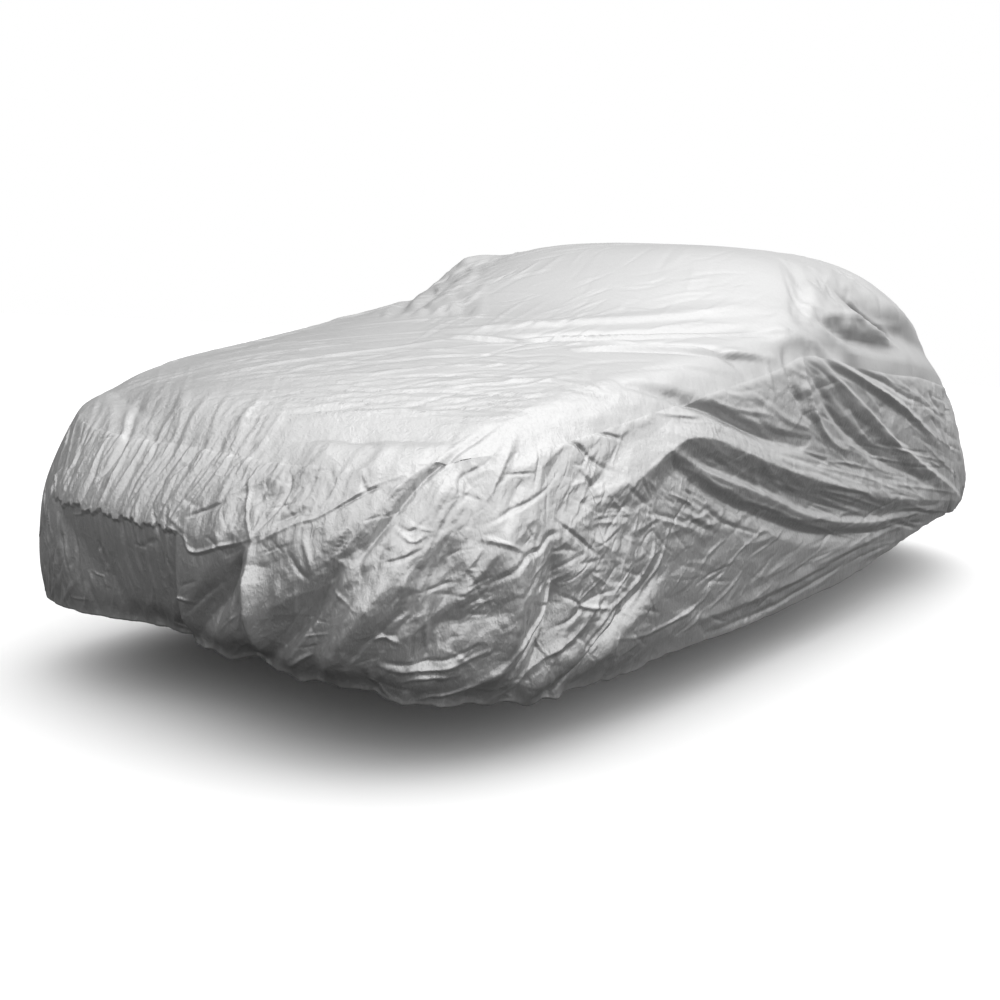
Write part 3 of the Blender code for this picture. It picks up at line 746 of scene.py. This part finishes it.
def draw_wrinkles(patches, most_bow, dice):
    """The wrinkles of each patch, drawn at random: middle, direction, half length, bow, height and flank widths."""
    for patch in patches:
        for _ in range(patch.count):
            at = np.array([dice.uniform(patch.a0, patch.a1), dice.uniform(patch.b0, patch.b1)])
            turn = patch.turn * (at[0] - patch.a0) / (patch.a1 - patch.a0)
            angle = np.radians(patch.angle + turn + patch.spread * dice.normal())
            half = patch.length / 2 * dice.uniform(*LENGTHS)
            bow = half * dice.uniform(-most_bow, most_bow)
            width = patch.width * dice.uniform(*WIDTHS)
            height = patch.height * dice.uniform(*HEIGHTS) * dice.choice([-1, 1])
            left, right_flank = width * dice.uniform(*FLANKS), width * dice.uniform(*FLANKS)
            yield Wrinkle(at, np.array([np.cos(angle), np.sin(angle)]), half, bow, height, left, right_flank)


def picture_scatter(patches, dice):
    """Short lines on the form for the wrinkles of each patch in the picture."""
    lines = []
    for w in draw_wrinkles(patches, PICTURE_BOW, dice):
        reach, square = w.way * w.half, np.array([-w.way[1], w.way[0]])
        path = in_picture(smooth_path([w.at - reach, w.at + square * w.bow, w.at + reach], 4))
        if len(path) > 4:
            pixel = pixel_at(path[0])
            lines.append(Line(path, w.height, w.left * pixel, w.right * pixel, 1.0))
    return lines


# %% [markdown]
# ## Facets
#
# Cloth with a stiff coating doesn't ripple, it breaks into small flat faces with edges between them. A net of
# triangles over scattered points, each at a height of its own, has just that form. Its cells are stretched along the
# way that the cloth hangs. Nets of several widths over each other give the large faces and the small ones. Like the
# wrinkles, they are stated in the picture where the camera sees the cloth, and in metres on the panel elsewhere.

# %% Facets that the camera sees
Facets = namedtuple("Facets", "a0 a1 b0 b1 margin cell stretch angle height")
PICTURE_FACETS = [
    Facets(215, 650, 425, 730, 40, 28, 2.3, 118, 0.0110),
    Facets(215, 650, 425, 730, 30, 12, 1.8, 126, 0.0044),
    Facets(215, 650, 430, 730, 30, 6, 1.6, 108, 0.0015),
    Facets(30, 260, 395, 660, 30, 10, 5.0, 106, 0.0018),
    Facets(590, 800, 470, 650, 40, 15, 1.6, 128, 0.0040),
    Facets(560, 965, 360, 650, 30, 8, 1.8, 140, 0.0021),
    Facets(560, 800, 365, 445, 25, 16, 3.0, 17, 0.0030),
    Facets(770, 970, 240, 500, 25, 9, 3.0, 42, 0.0026),
    Facets(790, 925, 245, 365, 20, 7, 1.6, 50, 0.0038),
    Facets(365, 490, 245, 322, 12, 6, 1.8, 150, 0.0100),
    Facets(180, 800, 240, 430, 40, 17, 5.0, 174, 0.0012),
]
KNOT_SHIFT = 0.45


def net_heights(x, y, cell, stretch, angle, dice):
    """Heights at (x, y) of a net of flat faces about cell wide and stretch times as long, from -1 to 1."""
    turn = np.radians(angle)
    a = (x * np.cos(turn) + y * np.sin(turn)) / (cell * stretch)
    b = (y * np.cos(turn) - x * np.sin(turn)) / cell
    spans = [np.arange(int(np.floor(part.min())) - 2, int(np.ceil(part.max())) + 3) for part in (a, b)]
    knots = np.stack(np.meshgrid(*spans, indexing="ij"), -1).reshape(-1, 2)
    knots = knots + dice.uniform(-KNOT_SHIFT, KNOT_SHIFT, knots.shape)
    corners, _, triangles = delaunay_2d_cdt([Vector(knot) for knot in knots], [], [], 0, 1e-6)[:3]
    tips = [(place[0], place[1], height) for place, height in zip(corners, dice.uniform(-1, 1, len(corners)))]
    net = BVHTree.FromPolygons(tips, triangles)
    down = Vector((0, 0, -1))
    return np.array([net.ray_cast(Vector((p, q, ABOVE)), down)[0][2] for p, q in zip(a, b)])


def add_facets(rows, a, b, shown, lift, dice):
    """Adds the facets of each row to the lift of points at (a, b), as far as shown says."""
    for row in rows:
        share = shown * window(a, row.a0, row.margin, row.a1, row.margin)
        share = share * window(b, row.b0, row.margin, row.b1, row.margin)
        near = np.flatnonzero(share > 0)
        net = net_heights(a[near], b[near], row.cell, row.stretch, row.angle, dice)
        lift[near] += row.height * share[near] * net


EDGE_ON = 0.15
way = base - CAMERA_PLACE
depth = way @ ahead
picture_x = PICTURE / 2 + FOCAL_PIXELS * (way @ right) / depth
picture_y = PICTURE / 2 - FOCAL_PIXELS * (way @ upright) / depth
facing = eased(-np.einsum("ij,ij->i", way, base_normals) / depth / EDGE_ON)

# %% Patches of wrinkles elsewhere
SIDE_PATCHES = [
    Patch(-1.30, 1.40, 0.02, 0.80, 120, 105, 40, 0.08, 0.012, 0.0020),
    Patch(4.60, 6.00, 0.02, 0.80, 90, 70, 35, 0.15, 0.012, 0.0024),
    Patch(-6.00, -4.20, 0.02, 0.80, 100, 110, 35, 0.15, 0.012, 0.0024),
    Patch(-4.60, -2.40, 0.05, 0.78, 260, 152, 10, 0.28, 0.014, 0.0030),
    Patch(-2.60, -1.20, 0.02, 0.78, 180, 115, 35, 0.13, 0.012, 0.0026),
]
TOP_PATCHES = [
    Patch(-0.75, 0.20, -2.10, -0.90, 70, 34, 6, 0.45, 0.016, 0.0018),
    Patch(-0.75, 0.00, -0.90, 0.40, 70, 50, 25, 0.30, 0.016, 0.0018),
    Patch(-0.75, 0.75, 0.60, 1.60, 90, 80, 35, 0.25, 0.018, 0.0020),
    Patch(-0.75, 0.75, 1.40, 2.30, 110, 20, 35, 0.22, 0.018, 0.0028),
    Patch(-0.85, -0.45, -0.60, 1.60, 110, 105, 30, 0.14, 0.014, 0.0034),
]


def scatter(patches, a, b, lift, dice):
    """Adds the wrinkles of each patch to the lift of points at (a, b), both in metres on the panel."""
    for w in draw_wrinkles(patches, PANEL_BOW, dice):
        reach = abs(w.way) * w.half + abs(w.bow) + max(w.left, w.right)
        near = np.flatnonzero((abs(a - w.at[0]) < reach[0]) & (abs(b - w.at[1]) < reach[1]))
        x, y = a[near] - w.at[0], b[near] - w.at[1]
        f = (x * w.way[0] + y * w.way[1]) / w.half
        off = (y * w.way[0] - x * w.way[1]) - w.bow * (1 - f**2)
        near_line = np.clip(1 - abs(off) / np.where(off > 0, w.left, w.right), 0, 1)
        lift[near] += w.height * np.clip(1 - f**2, 0, 1) ** FADE_POWER * near_line**CRISP_POWER


# %% Facets elsewhere, across the whole panel
ALL = 9.0
SIDE_FACETS = [
    Facets(4.20, 5.76, -ALL, ALL, 0.15, 0.120, 2.2, 78, 0.0150),
    Facets(-5.76, -4.00, -ALL, ALL, 0.15, 0.120, 2.2, 102, 0.0150),
    Facets(3.00, 5.76, -ALL, ALL, 0.15, 0.045, 2.0, 70, 0.0040),
    Facets(-5.76, -1.30, -ALL, ALL, 0.15, 0.045, 2.0, 125, 0.0040),
    Facets(-2.60, -1.20, -ALL, ALL, 0.30, 0.110, 2.0, 105, 0.0110),
]
TOP_FACETS = [
    Facets(0.00, 2.60, -ALL, ALL, 0.50, 0.060, 2.0, 60, 0.0030),
]

# %% Lay all folds on the skin
SEED = 7
WRINKLE_FREE_SIDE, FACET_FREE_SIDE = 0.02, 0.12
WRINKLE_FREE_RINGS, FACET_FREE_RINGS = 3, 12
JOIN_ROWS = 8
dice = np.random.default_rng(SEED)
wrinkles = picture_scatter(PICTURE_PATCHES, dice)
print(len(wrinkles), "wrinkles where the camera sees them")
lift = np.zeros(len(base))
for line in main_lines + seen + wrinkles:
    lift_of(line, base, base_normals, lift)
add_facets(PICTURE_FACETS, picture_x, picture_y, facing, lift, dice)

run_of = np.repeat(skin.run, DOWN + 1).reshape(skin.side.shape)
deep = np.broadcast_to(skin.down, skin.side.shape)
on_sides = run_of.ravel(), (deep * DROP).ravel()
top_x, top_y = base[skin.top.ravel(), 0], base[skin.top.ravel(), 1]
side_wrinkles, top_wrinkles = np.zeros(skin.side.size), np.zeros(skin.top.size)
scatter(SIDE_PATCHES, *on_sides, side_wrinkles, dice)
scatter(TOP_PATCHES, top_x, top_y, top_wrinkles, dice)
side_nets, top_nets = np.zeros(skin.side.size), np.zeros(skin.top.size)
add_facets(SIDE_FACETS, *on_sides, 1.0, side_nets, dice)
add_facets(TOP_FACETS, top_y, top_x, 1.0, top_nets, dice)

ring = rings_of(skin.top)
lift[skin.side] += side_wrinkles.reshape(skin.side.shape) * eased(deep / WRINKLE_FREE_SIDE)
lift[skin.side] += side_nets.reshape(skin.side.shape) * eased(deep / FACET_FREE_SIDE)
lift[skin.top] += top_wrinkles.reshape(skin.top.shape) * eased(ring / WRINKLE_FREE_RINGS)
lift[skin.top] += top_nets.reshape(skin.top.shape) * eased(ring / FACET_FREE_RINGS)
join_between(skin, lift, JOIN_ROWS)
print(f"folds lift the cloth by {lift.min() * 1000:.0f} to {lift.max() * 1000:.0f} mm")

# %% [markdown]
# ## The recess of the front and the hem
#
# Under the edge of the front the cloth falls inwards, so its upper edge is a ragged line with a darker face below. At
# the hem an elastic gathers the cloth into small upright puckers, most of all round the front.

# %% Recess and hem, with starts and ends in metres along the seam from its middle at the front
RECESS_START, RECESS_END, RECESS_RAMPS, RECESS_EDGE = -0.46, 0.06, (0.04, 0.015), 0.405
RECESS_WIDENS = 0.55
STEP, STEP_RAMP, TUCK, TUCK_REACH = 0.006, 0.015, 0.042, 0.6
FRONT_START, FRONT_RAMP = -0.62, 0.30
LEDGE, LEDGE_END, LEDGE_RAMP, LEDGE_LOSS = 0.024, 1.0, 0.7, 0.8
BELLY, BELLY_END, BELLY_RAMP, BELLY_LOSS, BELLY_DEEP = 0.020, 1.6, 0.5, 0.6, 0.40
CURL, CURL_DEEP = 0.032, 0.80
CORNER_RUN, CORNER_REACH = 0.6, 0.85
GATHER_ALL, GATHER_FRONT, GATHER_DEEP = 0.0005, 0.0022, 0.90
WAVE_ALL, WAVE_START, WAVE_RAMP, WAVE_DEEP = 0.15, -0.2, 0.4, 0.75

Wave = namedtuple("Wave", "height rate phase sway slow", defaults=[0, 0, 0])
RAGGED = [Wave(0.010, 61), Wave(0.008, 143, 1), Wave(0.006, 301)]
GATHER = [Wave(1.0, 74, 0, 3, 5), Wave(0.6, 131, 0, 2, 9)]
HEM_WAVES = [Wave(0.006, 23, 0, 2, 3), Wave(0.004, 57)]


def ripple(waves, x):
    """The sum of these waves along x. With sway, a wave is closer at some places than at others."""
    return sum(w.height * np.sin(x * w.rate + w.phase + w.sway * np.sin(x * w.slow)) for w in waves)


def from_row(start):
    """0 down to start, a share of the way down, and 1 at the hem."""
    return eased((deep - start) / (1 - start))


below = deep - RECESS_EDGE - ripple(RAGGED, run_of)
inside = eased((run_of - RECESS_START) / (RECESS_RAMPS[0] + RECESS_WIDENS * np.clip(below, 0, 1)))
inside *= eased((RECESS_END - run_of) / RECESS_RAMPS[1])
bulge = window(run_of, FRONT_START, FRONT_RAMP, LEDGE_END, LEDGE_RAMP) * (1 - LEDGE_LOSS * eased(below / TUCK_REACH))
lift[skin.side] += LEDGE * bulge * np.clip(1 + below / RECESS_EDGE, 0, 1)
tucked = 1 - (1 - np.clip(below / TUCK_REACH, 0, 1)) ** 2
lift[skin.side] -= inside * (STEP * eased(below / STEP_RAMP) + TUCK * tucked)
belly = window(run_of, FRONT_START, FRONT_RAMP, BELLY_END, BELLY_RAMP) * eased(deep / BELLY_DEEP)
lift[skin.side] += BELLY * belly * (1 - BELLY_LOSS * from_row(BELLY_DEEP))
forward = np.exp(-(((run_of - CORNER_RUN) / CORNER_REACH) ** 4))
lift[skin.side] -= CURL * forward * from_row(CURL_DEEP) ** 2
lift[skin.side] += (GATHER_ALL + GATHER_FRONT * forward) * ripple(GATHER, run_of) * from_row(GATHER_DEEP)
points = base + base_normals * lift[:, None]
wavy = WAVE_ALL + forward * eased((run_of - WAVE_START) / WAVE_RAMP)
points[skin.side, 2] += wavy * ripple(HEM_WAVES, run_of) * from_row(WAVE_DEEP)

# %% [markdown]
# ## Building the panels
#
# Each panel is one sheet of the skin. The side panels get a turned hem: a few more rows that go round the lower edge
# and up inside, where the elastic runs.

# %% Sheets
HEM_ROUND = 0.008
HEM_TURN = [(0.002, 0.005), (0.006, 0.007), (0.010, 0.003), (0.012, -0.008), (0.013, -0.030)]
up = np.array([0, 0, 1])
normals = normals_of(points, skin, skin_faces)


def sheet_object(name, grid, cloth, hem):
    """A panel as quads over its grid, with its cloth coordinates in metres, and with a turned hem where it has one."""
    rows, turned, cloth = [points[grid]], [normals[grid]], [cloth]
    if hem:
        edge, outward = points[grid[:, -1]], unit(normals[grid[:, -1]] * [1, 1, 0])
        for inset, fall in HEM_TURN:
            rows.append((edge - outward * inset - up * fall)[:, None])
            turned.append((outward * (HEM_ROUND - inset) - up * max(fall, 0))[:, None])
            cloth.append(cloth[0][:, -1:] - [0, inset + abs(fall)])
    place, turned, cloth = (np.concatenate(part, axis=1) for part in (rows, turned, cloth))
    numbers = np.arange(place.shape[0] * place.shape[1]).reshape(place.shape[:2])
    mesh = bpy.data.meshes.new(name)
    mesh.from_pydata((place.reshape(-1, 3) - HOLD).tolist(), [], quads(numbers).tolist())
    layer = mesh.uv_layers.new(name="cloth")
    corner_points = np.empty(len(mesh.loops), np.int32)
    mesh.loops.foreach_get("vertex_index", corner_points)
    layer.data.foreach_set("uv", cloth.reshape(-1, 2)[corner_points].astype(np.float32).reshape(-1))
    mesh.shade_smooth()
    mesh.normals_split_custom_set_from_vertices(unit(turned.reshape(-1, 3)).tolist())
    panel = bpy.data.objects.new(name, mesh)
    bpy.context.scene.collection.objects.link(panel)
    print(name, len(mesh.polygons), "quads")
    return panel


# %% Panels
right_side = np.arange(skin.half + 1)
left_side = np.append(np.arange(skin.half, len(skin.side)), 0)
right_cut = int(np.searchsorted(skin.run[: skin.half + 1], FINE_RUN))
left_cut = int(np.flatnonzero(skin.run[left_side[:-1]] > -FINE_RUN)[1])
side_cloth = np.stack([run_of, -deep * DROP], -1)
cuts = {
    "front_cloth_right": ("side_panel_right", right_side[: right_cut + 1]),
    "side_cloth_right": ("side_panel_right", right_side[right_cut:]),
    "side_cloth_left": ("side_panel_left", left_side[: left_cut + 1]),
    "front_cloth_left": ("side_panel_left", left_side[left_cut:]),
}
panels = {"top_cloth": (sheet_object("top_cloth", skin.top, base[skin.top][..., :2], False), "top_panel")}
for name, (node, columns) in cuts.items():
    columns = columns[::-1]
    panels[name] = (sheet_object(name, skin.side[columns], side_cloth[columns], True), node)

# %% [markdown]
# ## The coating
#
# Silver-coated cloth is neither metal nor paint: it mirrors its surroundings like brushed metal, but softly, and
# scatters some light as well. Too fine for the mesh are the crinkles of the film, a few millimetres to a few
# centimetres across. They are sharp at their crests, so each is made from the distance of a noise to its middle
# value, and they are drawn out along the way that the cloth hangs. A small class lets the shader's sums be written
# as sums.

# %% Shader values as Python values
class Value:
    """The output of a shader node, which can be added, multiplied and so on with other ones and with numbers."""

    def __init__(self, tree, socket=None):
        self.tree, self.socket = tree, socket

    def into(self, socket):
        self.tree.links.new(self.socket, socket)

    def node(self, kind, inputs, output=0, **settings):
        """A new node of this kind with its settings and inputs, and the value of one of its outputs."""
        made = self.tree.nodes.new(kind)
        for name, setting in settings.items():
            setattr(made, name, setting)
        for name, given in inputs.items():
            if isinstance(given, Value):
                given.into(made.inputs[name])
            else:
                made.inputs[name].default_value = given
        return Value(self.tree, made.outputs[output])

    def math(self, operation, second=0.0):
        return self.node("ShaderNodeMath", {0: self, 1: second}, operation=operation)

    def __add__(self, other):
        return self.math("ADD", other)

    def __mul__(self, other):
        return self.math("MULTIPLY", other)

    def __sub__(self, other):
        return self.math("SUBTRACT", other)

    def __abs__(self):
        return self.math("ABSOLUTE")

    __radd__, __rmul__ = __add__, __mul__

    def noise(self, scale, detail, distortion=0.0):
        """Noise from 0 to 1 at this place, with scale lumps to the metre."""
        inputs = {"Vector": self, "Scale": scale, "Detail": detail, "Distortion": distortion}
        return self.node("ShaderNodeTexNoise", inputs, "Fac")


# %% Cloth material
SILVER, METAL = (0.56, 0.56, 0.56, 1), 0.75
FILM_FADES, FILM_LEFT = (-0.42, -0.62), 0.25
SMOOTHEST, WORN_ROUGH, CRINKLE_ROUGH = 0.34, 0.12, 0.5
HUNG = (1.0, 1.0, 0.5)

Crinkle = namedtuple("Crinkle", "scale detail distortion depth")
CRINKLES = [Crinkle(12, 1, 0.5, 0.0050), Crinkle(40, 2, 0.3, 0.0038), Crinkle(120, 2, 0, 0.0018)]

cloth = bpy.data.materials.new("silver_cloth_finish")
cloth.use_nodes = True
shader = cloth.node_tree.nodes["Principled BSDF"].inputs
place = Value(cloth.node_tree).node("ShaderNodeTexCoord", {}, "Object")
height = place.node("ShaderNodeSeparateXYZ", {"Vector": place}, "Z")
fading = {"Value": height, "From Min": FILM_FADES[0], "From Max": FILM_FADES[1], "To Min": FILM_LEFT}
low = height.node("ShaderNodeMapRange", fading)
hung = place.node("ShaderNodeVectorMath", {0: place, 1: HUNG}, operation="MULTIPLY")
crests = [abs(hung.noise(c.scale, c.detail, c.distortion) - 0.5) for c in CRINKLES]
film = low * sum(crest * -c.depth for crest, c in zip(crests, CRINKLES))
place.node("ShaderNodeBump", {"Height": film, "Distance": 1.0, "Strength": 1.0}, "Normal").into(shader["Normal"])
(SMOOTHEST + WORN_ROUGH * place.noise(4, 3) + CRINKLE_ROUGH * crests[-1]).into(shader["Roughness"])
shader["Base Color"].default_value = SILVER
shader["Metallic"].default_value = METAL
for panel, node in panels.values():
    panel.data.materials.append(cloth)
    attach(panel, "root")
    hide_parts(node)

# %% [markdown]
# ## Studio
#
# The floor is white to the camera and dark to the cloth, which so gets its dark underside. The light comes from a
# large soft sky that is bright on one side of straight up, and a wide overhead lamp.

# %% Floor, light and world
FLOOR_SIZE, FLOOR_ROUGH, FLOOR_GREY, WHITE = 60, 0.9, (0.04, 0.04, 0.04, 1), (1, 1, 1, 1)
SKY_CENTRE = (0.28, -0.02, 0.96)
SKY_LOW, SKY_HIGH = (0.0, 0.13), (0.52, 1.31)
LAMP_STRENGTH, LAMP_WIDTH, LAMP_TURN = 0.6, 60, (-14, 12, 0)


def white_to_camera(tree, shown):
    """This colour for all light but the camera's direct view, which gets white."""
    direct = Value(tree).node("ShaderNodeLightPath", {}, "Is Camera Ray")
    return direct.node("ShaderNodeMix", {"Factor": direct, "A": shown, "B": WHITE}, "Result", data_type="RGBA")


bpy.context.scene.view_settings.view_transform = "Standard"
bpy.ops.mesh.primitive_plane_add(size=FLOOR_SIZE, location=(0, 0, -HOLD_Z))
floor = bpy.context.object
floor.name = "studio_floor"
floor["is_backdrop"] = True
paint = bpy.data.materials.new("studio_floor_white")
paint.use_nodes = True
floor.data.materials.append(paint)
paint_inputs = paint.node_tree.nodes["Principled BSDF"].inputs
paint_inputs["Roughness"].default_value = FLOOR_ROUGH
white_to_camera(paint.node_tree, FLOOR_GREY).into(paint_inputs["Base Color"])

sky = bpy.data.worlds.new("studio")
bpy.context.scene.world = sky
sky.use_nodes = True
outward = Value(sky.node_tree).node("ShaderNodeTexCoord", {}, "Generated")
toward = outward.node("ShaderNodeVectorMath", {0: outward, 1: SKY_CENTRE}, "Value", operation="DOT_PRODUCT")
shine = toward.node("ShaderNodeValToRGB", {"Fac": toward}, "Color")
ramp = shine.socket.node.color_ramp
ramp.interpolation = "EASE"
for stop, (position, level) in zip(ramp.elements, (SKY_LOW, SKY_HIGH)):
    stop.position, stop.color = position, (level, level, level, 1)
white_to_camera(sky.node_tree, shine).into(sky.node_tree.nodes["Background"].inputs["Color"])

lamp = bpy.data.lights.new("overhead", "SUN")
lamp.energy, lamp.angle = LAMP_STRENGTH, np.radians(LAMP_WIDTH)
overhead = bpy.data.objects.new("overhead", lamp)
overhead.rotation_euler = np.radians(LAMP_TURN)
bpy.context.scene.collection.objects.link(overhead)

[[list(corner) for corner in box] for box in (solid_box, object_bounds())]
